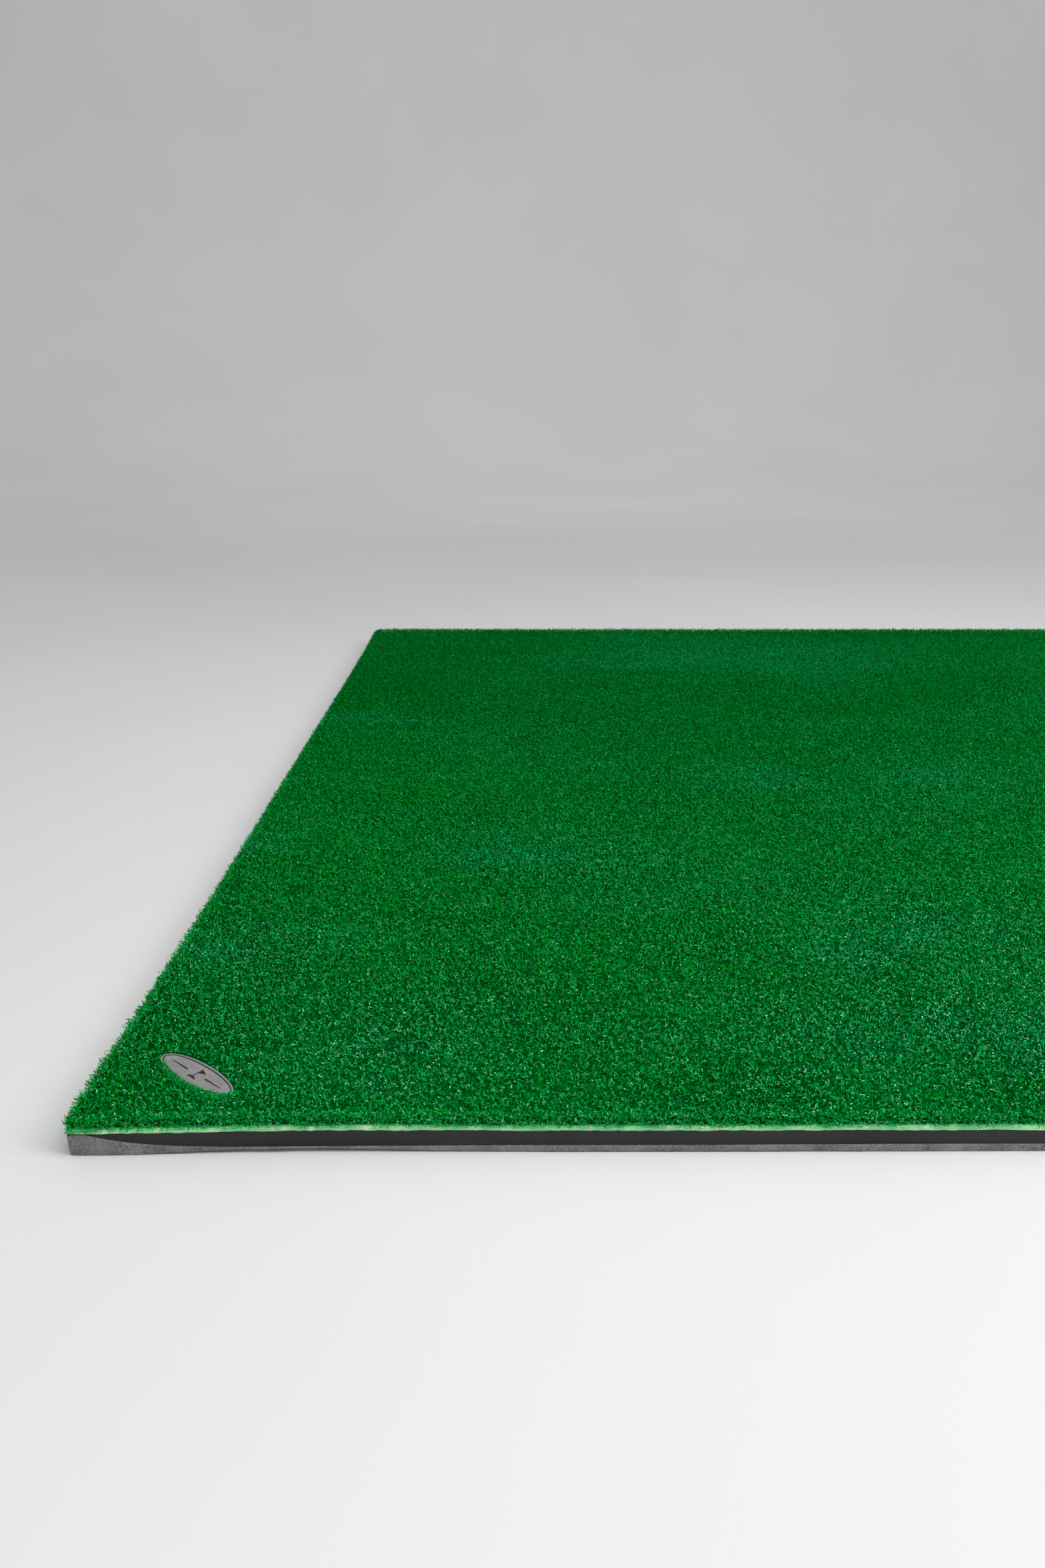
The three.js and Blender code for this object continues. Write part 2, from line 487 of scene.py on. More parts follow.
def from_edge(x, y):
    """The side nearest to each point, and how far the point lies inside that side's bowed edge."""
    away = np.stack([y - FRONT, RIGHT - x, BACK - y, x - LEFT])
    along = np.stack([x - LEFT, y - FRONT, RIGHT - x, BACK - y])
    side = np.argmin(away, axis=0)
    pick = (side, np.arange(len(x)))
    return side, away[pick] - bow(side, along[pick])


def slab(name, outline, insets, heights, materials, tints):
    """A closed sheet or slab: the outline moved in by each inset and set at each height, bottom to top.

    insets and heights are arrays with a row for each ring. tints has a material number for each band
    between two rings, and then for the bottom and the top.
    """
    count = len(outline.points)
    rings = []
    for inset, height in zip(insets, heights):
        flat = outline.points + outline.inward * np.broadcast_to(inset, count)[:, None]
        rings.append(np.column_stack([flat, np.broadcast_to(height, count)]))
    index = np.arange(count)
    after = (index + 1) % count
    bands = []
    for k in range(len(rings) - 1):
        low, high = k * count, (k + 1) * count
        bands.append(np.column_stack([index + low, after + low, after + high, index + high]))
    floor = index[::-1][None, :]
    ceiling = (index + (len(rings) - 1) * count)[None, :]
    numbers = np.concatenate([np.repeat(tints[:-2], count), tints[-2:]])
    return add_mesh(name, np.concatenate(rings), bands + [floor, ceiling], materials, numbers, smooth=False)


# ---------------------------------------------------------------- the foam


def foam_slab(settings):
    """The slab, with a knife's recessed face above a rough ledge all the way round."""
    outline = Outline(steps=640, crowding=0.7)
    far, run = outline.to_corner, outline.round
    thickness = FOAM_HIGH.z - FOAM_LOW.z
    # The knife drops from near each corner, and then rises until about a third of the edge is below it.
    least, most = 0.12, 0.97
    entry, drop, climb = 9 * MM, 38 * MM, 200 * MM
    share = least + (most - least) * np.exp(-np.maximum(far - entry, 0) / drop)
    share += (0.19 + 0.03 * wander(run, 0.22, 11)) * (1 - np.exp(-((far / climb) ** 3)))
    ledge = thickness * np.clip(share, least, most)
    # The bottom edge curls up off the floor a little, most of all some way in from each corner.
    peak, spread, flat_corner = 130 * MM, 75 * MM, 50 * MM
    curl = 0.55 + 2.2 * np.exp(-(((far - peak) / spread) ** 2)) + 0.12 * wander(run, 0.17, 12)
    lift = curl * MM * (1 - np.exp(-((far / flat_corner) ** 2)))
    edge = bow(outline.side, outline.along)
    rough = wander(run, 0.004, 13) * 0.16 * MM + wander(run, 0.03, 14) * 0.2 * MM
    depth = settings.cut_depth * (0.9 + 0.3 * wander(run, 0.12, 15)) * (1 - np.exp(-far / (12 * MM)))
    lip = 0.3 * MM
    chip = 0.8 * MM * np.exp(-((far / (5 * MM)) ** 2))
    insets = [
        edge + 9 * MM,
        edge + 0.35 * MM + chip,
        edge + 0.05 * MM + rough * 0.5 + chip * 0.4,
        edge + rough,
        edge + 0.25 * MM + rough,
        edge + depth,
        edge + depth + 0.1 * MM,
        edge + depth,
        edge + depth + 0.35 * MM,
    ]
    heights = [
        FOAM_LOW.z,
        FOAM_LOW.z + lift,
        FOAM_LOW.z + lift + 0.15 * MM,
        FOAM_LOW.z + ledge - lip,
        FOAM_LOW.z + ledge,
        FOAM_LOW.z + ledge + np.minimum(lip, (thickness - ledge) * 0.4),
        FOAM_LOW.z + (ledge + thickness) / 2,
        FOAM_HIGH.z - np.minimum(0.4 * MM, (thickness - ledge) * 0.3),
        FOAM_HIGH.z,
    ]
    skin, cut = 0, 1
    tints = [skin] * 5 + [cut] * 3 + [skin] * 2
    finishes = [foam_skin(settings), foam_cut(settings)]
    return slab("foam_base_slab", outline, insets, heights, finishes, tints)


# ---------------------------------------------------------------- the turf's cloth


CLOTH_SETBACK = 0.9 * MM  # how far the cut layers lie behind the foam's ledge


def turf_sheet(name, low, high, fray, seed, material):
    """One layer of the turf's cloth, cut along the mat's edge and ragged by about fray."""
    outline = Outline(steps=640, crowding=0.5)
    edge = bow(outline.side, outline.along) + CLOTH_SETBACK
    ragged = fray * (wander(outline.round, 0.0035, seed) + 0.6 * wander(outline.round, 0.02, seed + 1))
    swell = 0.12 * (high - low) * wander(outline.round, 0.05, seed + 2)
    insets = [edge + 0.1 * MM + ragged, edge + ragged * 0.7, edge + ragged, edge + 0.15 * MM + ragged]
    step = (high - low) / 3
    heights = [low, low + step + swell, low + 2 * step + swell, high]
    return slab(name, outline, insets, heights, [material], [0, 0, 0, 0, 0])


# ---------------------------------------------------------------- the pile


# Where the rings of a ribbon lie along it, for each kind of fibre.
UNDER_RINGS = (0, 1)
FIELD_RINGS = (0, 0.4, 0.74, 1)
EDGE_RINGS = (0, 0.35, 0.7, 1)
STRAY_RINGS = tuple(np.linspace(0, 1, 9))

# Where the nap is brushed so that it shows a cooler or a yellower green: middle and half size, in metres.
# The cooler green is painted sheen, and painted glints gather there as well.
COOL_NAPS = (
    (0.0, -0.125, 0.09, 0.06),
    (-0.21, -0.11, 0.07, 0.04),
    (-0.725, -0.32, 0.03, 0.03),
    (-0.69, -0.53, 0.06, 0.03),
    (-0.675, 0.125, 0.1, 0.03),
    (-0.45, -0.33, 0.11, 0.05),
    (-0.16, -0.5, 0.1, 0.07),
    (-0.17, -0.65, 0.16, 0.06),
    (-0.56, -0.675, 0.08, 0.05),
    (-0.1, 0.5, 0.3, 0.14),
    (0.45, -0.3, 0.13, 0.08),
    (0.35, 0.2, 0.16, 0.07),
)
LEAF_NAPS = (
    (-0.62, -0.2, 0.14, 0.3),
    (-0.35, -0.55, 0.12, 0.08),
    (-0.72, -0.7, 0.04, 0.1),
    (0.5, 0.45, 0.2, 0.2),
)


def oval_share(x, y, margin=0.0, shift=0.0):
    """How far a point is from the badge's middle, as a share of the oval's own radius in that direction.

    margin widens the oval all round and shift moves it towards the back.
    """
    dx, dy = x - BADGE_MIDDLE.x, y - BADGE_MIDDLE.y - shift
    c, s = math.cos(BADGE_TURN), math.sin(BADGE_TURN)
    along, across = dx * c + dy * s, dy * c - dx * s
    return np.hypot(along / (BADGE_REACH + margin), across / (BADGE_BREADTH + margin))


def ribbons(rng, rings, roots, up, rise, reach, width, curl=(1.2, 4.5), droop=(0.95, 1.75)):
    """Crimped, pointed ribbons of yarn: for each, both edges at every ring but the last, and then its tip.

    A ribbon rises from its root along up and curls to the side through an angle in the range curl. It nods
    over at its tip where its draw from the range droop is over 1.
    """
    n = len(roots)
    t = np.array(rings)
    east = unit(np.cross(np.where(np.abs(up[:, 2:]) > 0.9, [[1.0, 0, 0]], [[0, 0, 1.0]]), up))
    north = np.cross(up, east)
    angle = rng.uniform(0, 2 * math.pi, (n, 1))
    angle = angle + rng.uniform(*curl, (n, 1)) * rng.choice([-1, 1], (n, 1)) * t
    out = reach[:, None] * t**1.15
    high = rise[:, None] * np.sin(t * rng.uniform(*droop, (n, 1)) * math.pi / 2)
    kink = np.where(np.arange(len(t)) % 2 == 0, 1.0, -1.0) * rng.uniform(0.05, 0.3, (n, 1)) * MM
    middle = roots[:, None] + up[:, None] * high[..., None]
    middle += east[:, None] * (out * np.cos(angle) + kink * np.sin(angle))[..., None]
    middle += north[:, None] * (out * np.sin(angle) - kink * np.cos(angle))[..., None]
    along = unit(np.gradient(middle, axis=1))
    flat = unit(np.cross(along, up[:, None] + rng.normal(0, 0.35, (n, 1, 3))))
    upright = np.cross(along, flat)
    twist = (rng.uniform(-0.8, 0.8, (n, 1)) + rng.uniform(-1.1, 1.1, (n, 1)) * t)[..., None]
    side = flat * np.cos(twist) + upright * np.sin(twist)
    taper = np.interp(t, [0, 0.35, 1], [0.8, 1.0, 0.9])
    half = side * (width[:, None] / 2 * taper)[..., None]
    edges = np.stack([middle - half, middle + half], axis=2)[:, :-1]
    return np.concatenate([edges.reshape(n, -1, 3), middle[:, -1:]], axis=1)


def ribbon_faces(count, rings):
    """The quads up each ribbon, and then the triangle at each tip."""
    size = 2 * len(rings) - 1
    start = np.arange(count)[:, None, None] * size
    ring = np.arange(len(rings) - 2)[None, :, None] * 2
    quads = (start + ring + np.array([0, 1, 3, 2])).reshape(-1, 4)
    return [quads, start[:, 0] + np.array([size - 3, size - 2, size - 1])]


def nap(x, y, places):
    """From 0 to 1, how strongly a point lies in one of those patches, which have ragged edges."""
    x = x + 0.03 * patches(x, y, 0.04, 0.03, 25)
    y = y + 0.02 * patches(x, y, 0.05, 0.03, 26)
    strength = np.zeros(len(x))
    for middle_x, middle_y, half_x, half_y in places:
        away = ((x - middle_x) / half_x) ** 2 + ((y - middle_y) / half_y) ** 2
        strength = np.maximum(strength, np.exp(-away))
    return strength


def painted_back_shade(y):
    """From 0 at the front of the mat to 1 at the back: how strongly painted shade darkens the yarn there."""
    return 1 / (1 + np.exp((-0.1 - y) / 0.15))


def yarn_tones(rng, x, y):
    """The shade of each fibre: teal and leaf-green patches drift over a mix of emeralds; the teal mixes in
    painted sheen.
    """
    n = len(x)
    cool = nap(x, y, COOL_NAPS) + 0.32 * patches(x, y, 0.13, 0.05, 22)
    warm = nap(x, y, LEAF_NAPS) + 0.25 * patches(x, y, 0.1, 0.06, 24)
    draw = rng.random(n)
    tone = np.full(n, SHADE_INDEX["emerald"])
    # Painted shade and light: darker fibres grow commoner towards the back and lighter ones fewer.
    tone[draw < 0.07 + 0.66 * painted_back_shade(y)] = SHADE_INDEX["emerald_dark"]
    tone[draw > 0.86 + 0.13 * painted_back_shade(y)] = SHADE_INDEX["emerald_light"]
    teal = rng.random(n) < np.clip(0.1 + 0.62 * cool, 0.02, 0.8)
    tone[teal] = SHADE_INDEX["teal"]
    leaf = ~teal & (rng.random(n) < np.clip(0.14 + 0.4 * warm, 0.02, 0.6))
    tone[leaf] = SHADE_INDEX["leaf"]
    return tone


def tip_tones(rng, tone, x, y, gloss=1.0):
    """The shade of each fibre's tip: its own, a lighter one as painted light, or a painted glint whose share
    gloss scales.
    """
    tip = tone.copy()
    # Lighter tips are painted light, commoner towards the front.
    lighter = rng.random(len(tone)) < 0.34 * (1 - painted_back_shade(y)) + 0.04
    tip[lighter & (tone == SHADE_INDEX["emerald"])] = SHADE_INDEX["emerald_light"]
    tip[lighter & (tone == SHADE_INDEX["teal"])] = SHADE_INDEX["teal_light"]
    # Painted glints are commoner towards the front of the mat and in the brushed patches.
    painted_glint_share = (0.004 + 0.2 / (1 + np.exp((y + 0.5) / 0.09))) * (0.7 + nap(x, y, COOL_NAPS))
    tip[rng.random(len(tone)) < painted_glint_share * gloss] = SHADE_INDEX["glossy_painted_glint"]
    return tip


def scattered(rng, per_square_metre):
    """Random places on the mat, clear of the badge and a little further clear along its far edge."""
    count = int((RIGHT - LEFT) * (BACK - FRONT) * per_square_metre)
    x = rng.uniform(LEFT, RIGHT, count)
    y = rng.uniform(FRONT, BACK, count)
    keep = (oval_share(x, y, 0.7 * MM, 1.0 * MM) > 1) & (from_edge(x, y)[1] > 1.3 * MM)
    return x[keep], y[keep]


def brushed(rng, x, y):
    """Which way the fibres stand: out past the mat's edges, and back over the badge's near edge."""
    n = len(x)
    lean = np.column_stack([rng.normal(0, 0.25, n), rng.normal(0, 0.25, n), np.ones(n)])
    side, inside = from_edge(x, y)
    lean[:, :2] += 0.7 * OUTWARD[side] * np.exp(-inside / (4 * MM))[:, None]
    lean[:, 1] += 0.75 * (oval_share(x, y, 3.5 * MM) < 1)
    return unit(lean)


def under_fibres(rng, settings):
    """Short fibres lying low between the others."""
    x, y = scattered(rng, settings.under_per_square_metre)
    n = len(x)
    z = PILE_HIGH.z - settings.fibre_rise + rng.uniform(0, 1.4, n) * MM
    rise = rng.uniform(0.2, 1.5, n) * MM
    reach = settings.fibre_reach * rng.uniform(0.5, 1.2, n)
    width = settings.fibre_width * rng.uniform(0.8, 1.5, n)
    points = ribbons(rng, UNDER_RINGS, np.column_stack([x, y, z]), brushed(rng, x, y), rise, reach, width)
    tone = yarn_tones(rng, x, y)
    # Painted shade: low fibres are darkened, more so towards the back.
    tone[rng.random(n) < 0.2 + 0.3 * painted_back_shade(y)] = SHADE_INDEX["emerald_dark"]
    tone[rng.random(n) < 0.12 + 0.16 * painted_back_shade(y)] = SHADE_INDEX["root"]
    return points, tone[:, None]


def field_fibres(rng, settings):
    """The fibres that reach the top of the pile."""
    x, y = scattered(rng, settings.per_square_metre)
    n = len(x)
    z = PILE_HIGH.z - settings.fibre_rise + (0.8 + 0.5 * patches(x, y, 0.006, 0.006, 31)) * MM
    rise = (settings.fibre_rise - 0.8 * MM) * rng.uniform(0.55, 1.12, n)
    reach = settings.fibre_reach * rng.uniform(0.45, 1.4, n)
    width = settings.fibre_width * rng.uniform(0.6, 1.2, n)
    points = ribbons(rng, FIELD_RINGS, np.column_stack([x, y, z]), brushed(rng, x, y), rise, reach, width)
    tone = yarn_tones(rng, x, y)
    tip = tip_tones(rng, tone, x, y)
    # Painted shade: the lower part of some fibres is darkened, more so towards the back.
    tone[rng.random(n) < 0.12 + 0.16 * painted_back_shade(y)] = SHADE_INDEX["emerald_dark"]
    return points, np.column_stack([tone, tone, tip])


def corner_droop(flat):
    """From 0 along the sides to 1 at the mat's corners, where the pile splays out and down."""
    away = np.linalg.norm(flat[:, None] - CORNERS[None], axis=2).min(axis=1)
    return np.exp(-((away / (24 * MM)) ** 2))[:, None]


def along_sides(rng, per_metre):
    """Random places on the mat's bowed edge, and the way out of the mat at each."""
    side = np.repeat(np.arange(4), int(SIDE * per_metre))
    along = rng.uniform(0, SIDE, len(side))
    direction = unit(np.roll(CORNERS, -1, axis=0) - CORNERS)[side]
    outward = OUTWARD[side]
    return CORNERS[side] + along[:, None] * direction - outward * bow(side, along)[:, None], outward


def edge_fibres(rng, settings, per_metre=8500):
    """The fibres on the sides of the pile, which lean out over the cut cloth."""
    flat, outward = along_sides(rng, per_metre)
    n = len(flat)
    level = 0.04 + 0.78 * rng.beta(1.0, 1.2, n)
    inset = rng.uniform(1.6, 4.6, n) * MM
    height = PILE_LOW.z + (PILE_HIGH.z - PILE_LOW.z) * level
    roots = np.column_stack([flat - outward * inset[:, None], height])
    droop = corner_droop(flat)
    lean = outward * (rng.uniform(0.3, 1.0, (n, 1)) + 0.5 * droop) + rng.normal(0, 0.35, (n, 2))
    up = unit(np.column_stack([lean, rng.uniform(0.3, 1.1, (n, 1)) - 0.7 * droop]))
    rise = rng.uniform(1.8, 4.0, n) * (0.5 + 1.0 * level) * MM
    reach = rng.uniform(0.9, 2.6, n) * MM
    width = settings.fibre_width * rng.uniform(0.6, 1.1, n)
    points = ribbons(rng, EDGE_RINGS, roots, up, rise, reach, width)
    tone = yarn_tones(rng, roots[:, 0], roots[:, 1])
    tip = tip_tones(rng, tone, roots[:, 0], roots[:, 1], 0.3)
    # Painted shade: the lower part of a third of these fibres is darkened.
    tone[rng.random(n) < 0.35] = SHADE_INDEX["emerald_dark"]
    light = rng.random(n) < np.interp(level, [0.05, 0.16, 0.3], [0.85, 0.5, 0.06])
    tone[light] = SHADE_INDEX["fringe"]
    tip[light] = rng.choice([SHADE_INDEX["fringe"], SHADE_INDEX["teal_light"]], light.sum())
    return points, np.column_stack([tone, tone, tip])


def hem_fibres(rng, settings, per_metre=4200):
    """Cut ends of yarn that hang over the edge of the cloth, in tufts with gaps between them."""
    flat, outward = along_sides(rng, per_metre)
    x, y = flat[:, 0], flat[:, 1]
    clump = patches(x, y, 0.007, 0.007, 33) + 0.8 * patches(x, y, 0.03, 0.03, 34)
    keep = rng.random(len(flat)) < 0.5 + 0.5 * clump + corner_droop(flat)[:, 0]
    flat, outward = flat[keep], outward[keep]
    n = len(flat)
    droop = corner_droop(flat)
    roots = np.column_stack([
        flat - outward * rng.uniform(0.9, 2.4, (n, 1)) * MM,
        PILE_LOW.z + (rng.uniform(-0.3, 1.6, (n, 1)) - 0.8 * droop) * MM,
    ])
    lean = outward * rng.uniform(0.5, 1.0, (n, 1)) + rng.normal(0, 0.6, (n, 2))
    up = unit(np.column_stack([lean, rng.uniform(-1.1, 0.5, (n, 1)) - 0.4 * droop]))
    rise = rng.uniform(0.9, 2.6, n) * (1 + 0.5 * droop[:, 0]) * MM
    reach = rng.uniform(0.5, 1.6, n) * MM
    width = settings.fibre_width * rng.uniform(0.4, 0.8, n)
    points = ribbons(rng, EDGE_RINGS, roots, up, rise, reach, width)
    names = ("fringe", "emerald", "emerald_light", "teal_light", "pale")
    tone = rng.choice([SHADE_INDEX[name] for name in names], n, p=(0.34, 0.22, 0.22, 0.16, 0.06))
    return points, np.repeat(tone[:, None], len(EDGE_RINGS) - 1, axis=1)


def rim_fibres(rng, settings, count=2600):
    """Fibres along the badge's near edge that lap over its rim."""
    t = rng.uniform(0, 2 * math.pi, count)
    margin = rng.uniform(0.3, 2.6, count) * MM
    along, across = (BADGE_REACH + margin) * np.cos(t), (BADGE_BREADTH + margin) * np.sin(t)
    near = (across < 0) & (along > -0.8 * BADGE_REACH)
    along, across = along[near], across[near]
    c, s = math.cos(BADGE_TURN), math.sin(BADGE_TURN)
    x, y = BADGE_MIDDLE.x + along * c - across * s, BADGE_MIDDLE.y + along * s + across * c
    n = len(x)
    z = PILE_HIGH.z - rng.uniform(2.0, 3.4, n) * MM
    up = unit(np.column_stack([rng.normal(0.2, 0.3, n), rng.uniform(0.5, 1.4, n), np.full(n, 0.8)]))
    rise = rng.uniform(1.9, 4.2, n) * MM
    reach = rng.uniform(0.8, 2.0, n) * MM
    width = settings.fibre_width * rng.uniform(0.6, 1.0, n)
    points = ribbons(rng, EDGE_RINGS, np.column_stack([x, y, z]), up, rise, reach, width)
    tone = yarn_tones(rng, x, y)
    return points, np.column_stack([tone, tone, tip_tones(rng, tone, x, y, 0.6)])


def stray_fibres(rng, per_metre=110):
    """Loose and over-long fibres that curl out past the mat's edges and hang over the foam."""
    flat, outward = along_sides(rng, per_metre)
    n = len(flat)
    roots = np.column_stack([flat - outward * 2.5 * MM, rng.uniform(PILE_LOW.z, PILE_HIGH.z - 2 * MM, n)])
    up = unit(np.column_stack([outward + rng.normal(0, 0.35, (n, 2)), rng.uniform(-0.7, 0.7, n)]))
    rise = rng.uniform(3.0, 6.0, n) * MM
    reach = rng.uniform(1.0, 3.0, n) * MM
    width = rng.uniform(0.26, 0.46, n) * MM
    points = ribbons(rng, STRAY_RINGS, roots, up, rise, reach, width, (1.5, 5.0), (0.8, 1.5))
    choices = [SHADE_INDEX[name] for name in ("fringe", "emerald_dark", "emerald", "teal_light", "pale")]
    return points, np.repeat(rng.choice(choices, n)[:, None], len(STRAY_RINGS) - 1, axis=1)


def lift_off_badge(points):
    """Raises the parts of fibres that cross the badge onto its face."""
    x, y, z = points[..., 0], points[..., 1], points[..., 2]
    top = PLATE_HIGH.z + 0.5 * MM
    points[..., 2] = np.where((oval_share(x, y) < 1) & (z < top), top, z)
    return points


def fibre_strips(name, rings, fibres, materials, count):
    """Meshes of those fibres, in strips that run across the mat from side to side."""
    points, tints = fibres
    order = np.argsort(points[:, 0, 1], kind="stable")
    points = lift_off_badge(points)
    for number, members in enumerate(np.array_split(order, count), 1):
        corners = points[members].reshape(-1, 3)
        faces = ribbon_faces(len(members), rings)
        shades = np.concatenate([tints[members, :-1].ravel(), tints[members, -1]])
        piece = add_mesh(f"{name}_{number:02d}", corners, faces, materials, shades)
        fit_to_frame(piece, "turf_pile")


def pile_bed_mesh(settings):
    """The bed of packed yarn under the tips: a bumpy sheet that closes at the cloth."""
    steps = 260
    inset = 2.9 * MM
    along = np.linspace(0, SIDE, steps)
    front, right, back, left = (bow(side, along) + inset for side in range(4))
    share = along / SIDE
    u, v = np.meshgrid(share, share, indexing="ij")
    gx = LEFT + left[::-1] + u * (SIDE - left[::-1] - right)
    gy = FRONT + front[:, None] + v * (SIDE - front[:, None] - back[::-1][:, None])
    top = PILE_HIGH.z - settings.fibre_rise + 0.6 * MM
    z = top + 0.6 * MM * patches(gx, gy, 0.012, 0.012, 41)
    edge = np.minimum.reduce([u, 1 - u, v, 1 - v]) * SIDE
    z -= 3.5 * MM * np.exp(-edge / (2.5 * MM))
    hollow = oval_share(gx, gy, 2.5 * MM) < 1
    z = np.where(hollow, np.minimum(z, PAD_LOW.z - 0.4 * MM), z)
    upper = np.column_stack([gx.ravel(), gy.ravel(), z.ravel()])
    index = np.arange(steps * steps).reshape(steps, steps)
    corners = (index[:-1, :-1], index[1:, :-1], index[1:, 1:], index[:-1, 1:])
    cells = np.column_stack([corner.ravel() for corner in corners])
    rim = np.concatenate([index[:-1, 0], index[-1, :-1], index[:0:-1, -1], index[0, :0:-1]])
    lower = upper[rim].copy()
    lower[:, 2] = PILE_LOW.z
    n = len(rim)
    ring = np.arange(n) + len(upper)
    skirt = np.column_stack([ring, np.roll(ring, -1), np.roll(rim, -1), rim])
    floor = ring[::-1][None, :]
    points = np.concatenate([upper, lower])
    return add_mesh("turf_pile_bed", points, [cells, skirt, floor], [pile_bed(settings)])


# ---------------------------------------------------------------- the badge


def on_badge(piece, tilt):
    """Moves a mesh made about the badge's own middle to its place, turned and dipped at the right end."""
    place = Matrix.Translation((BADGE_MIDDLE.x, BADGE_MIDDLE.y, PLATE_HIGH.z))
    piece.data.transform(place @ Matrix.Rotation(BADGE_TURN, 4, "Z") @ Matrix.Rotation(tilt, 4, "Y"))
    return piece


def oval_ring(inset, height, steps=144):
    """Points round an oval whose half length and half width are less than the badge's by inset."""
    t = np.linspace(0, 2 * math.pi, steps, endpoint=False)
    x, y = (BADGE_REACH - inset) * np.cos(t), (BADGE_BREADTH - inset) * np.sin(t)
    return np.column_stack([x, y, np.full(steps, height)])


def stack(rings, closed):
    """Rings of points and the faces between them.

    closed joins the last ring to the first. Otherwise a cap shuts each end.
    """
    steps = len(rings[0])
    index = np.arange(steps)
    after = (index + 1) % steps
    faces = []
    for k in range(len(rings) if closed else len(rings) - 1):
        low, high = k * steps, (k + 1) % len(rings) * steps
        faces.append(np.column_stack([index + low, after + low, after + high, index + high]))
    if not closed:
        faces.append(index[::-1][None, :])
        faces.append((index + (len(rings) - 1) * steps)[None, :])
    return np.concatenate(rings), faces


def badge_plate_mesh():
    """The plate: a rounded rim, a groove for the border line and a slightly crowned face."""
    thickness = (PLATE_HIGH.z - PLATE_LOW.z) / MM
    profile = [  # inset from the rim and height over the face, in millimetres
        (0.5, -thickness),
        (0.1, 0.15 - thickness),
        (0.0, -0.5),
        (0.08, -0.18),
        (0.3, -0.03),
        (0.7, 0.0),
        (1.45, 0.0),
        (1.55, -0.12),
        (2.52, -0.12),
        (2.62, 0.0),
        (4.5, 0.06),
        (7.0, 0.1),
    ]
    return stack([oval_ring(inset * MM, height * MM) for inset, height in profile], closed=False)


def glue_pad_mesh():
    """The pad of glue under the plate."""
    underside = (PLATE_LOW.z - PLATE_HIGH.z) / MM
    profile = [(3.4, underside - 0.9), (3.0, underside - 0.6), (3.0, underside - 0.1), (3.2, underside)]
    return stack([oval_ring(inset * MM, height * MM) for inset, height in profile], closed=False)


def border_line_mesh():
    """The thick printed line that fills the plate's groove."""
    profile = [(1.58, -0.11), (1.6, 0.02), (1.7, 0.05), (2.35, 0.05), (2.48, 0.02), (2.5, -0.11)]
    return stack([oval_ring(inset * MM, height * MM) for inset, height in profile], closed=True)


def raised_mark_mesh(outline):
    """A printed mark that stands a little proud of the plate, moved in by the bevel at its top."""
    low, high, bevel = -0.02 * MM, 0.2 * MM, 0.05 * MM
    points = np.array(outline) * MM
    before, after = np.roll(points, 1, axis=0), np.roll(points, -1, axis=0)
    along = unit(unit(after - points) + unit(points - before))
    inward = np.column_stack([-along[:, 1], along[:, 0]])
    levels = ((points, low), (points, high - bevel), (points + inward * bevel, high))
    return stack([np.column_stack([flat, np.full(len(flat), z)]) for flat, z in levels], closed=False)


# The marks' outlines, in millimetres from the badge's middle: a flag on a pole over a low mound, and the bar
# to its right.
FLAG = [(-4.5, -4.5), (4.5, -4.5), (3.3, -3.5), (2.1, -2.8), (0.45, -2.5), (0.45, 1.3)]
FLAG += [(5.95, 3.4), (0.45, 5.5), (-0.45, 5.5), (-0.45, -2.5), (-2.1, -2.8), (-3.3, -3.5)]
BAR = [(9.0, -0.7), (25.0, -0.25), (25.0, 0.25), (9.0, 0.7)]


# ---------------------------------------------------------------- operators


class HITMAT_OT_foam(bpy.types.Operator):
    """Build the foam slab"""

    bl_idname = "hitmat.foam"
    bl_label = "Foam slab"

    def execute(self, context):
        slab_piece = foam_slab(context.scene.hitmat_foam)
        fit_to_frame(slab_piece, "foam_base")
        return {"FINISHED"}


class HITMAT_OT_cloth(bpy.types.Operator):
    """Build the glue, the coating and the woven cloth under the pile"""

    bl_idname = "hitmat.cloth"
    bl_label = "Glue, coating and cloth"

    def execute(self, context):
        green = (0.42, 0.95, 0.46)
        glue_finish = cut_cloth("glue_edge", (0.5, 0.92, 0.42), (0.8, 1.0, 0.66), (0.2, 0.62, 0.24))
        coat_finish = cut_cloth("coating_edge", green, (0.8, 1.0, 0.7), (0.18, 0.7, 0.28))
        cloth_finish = cut_cloth("cloth_edge", green, (0.7, 1.0, 0.66), (0.08, 0.5, 0.18))
        glue = turf_sheet("glue_film_sheet", FOAM_HIGH.z, COAT_LOW.z, 0.35 * MM, 51, glue_finish)
        fit_to_frame(glue, "glue_film")
        coat = turf_sheet("latex_coating_sheet", COAT_LOW.z, CLOTH_LOW.z, 0.25 * MM, 54, coat_finish)
        fit_to_frame(coat, "latex_coating")
        cloth = turf_sheet("woven_backing_sheet", CLOTH_LOW.z, PILE_LOW.z, 0.45 * MM, 57, cloth_finish)
        fit_to_frame(cloth, "primary_backing")
        return {"FINISHED"}


class HITMAT_OT_pile(bpy.types.Operator):
    """Build the bed of the pile and its fibres"""

    bl_idname = "hitmat.pile"
    bl_label = "Pile"

    def execute(self, context):
        settings = context.scene.hitmat_turf
        fit_to_frame(pile_bed_mesh(settings), "turf_pile")
        materials = yarn_materials(settings)
        rng = np.random.default_rng(7)
        fibre_strips("turf_under_row", UNDER_RINGS, under_fibres(rng, settings), materials, 3)
        fibre_strips("turf_pile_row", FIELD_RINGS, field_fibres(rng, settings), materials, 16)
        fibre_strips("turf_edge_row", EDGE_RINGS, edge_fibres(rng, settings), materials, 2)
        fibre_strips("turf_hem_row", EDGE_RINGS, hem_fibres(rng, settings), materials, 1)
        fibre_strips("turf_rim_row", EDGE_RINGS, rim_fibres(rng, settings), materials, 1)
        fibre_strips("turf_stray_row", STRAY_RINGS, stray_fibres(rng), materials, 1)
        return {"FINISHED"}


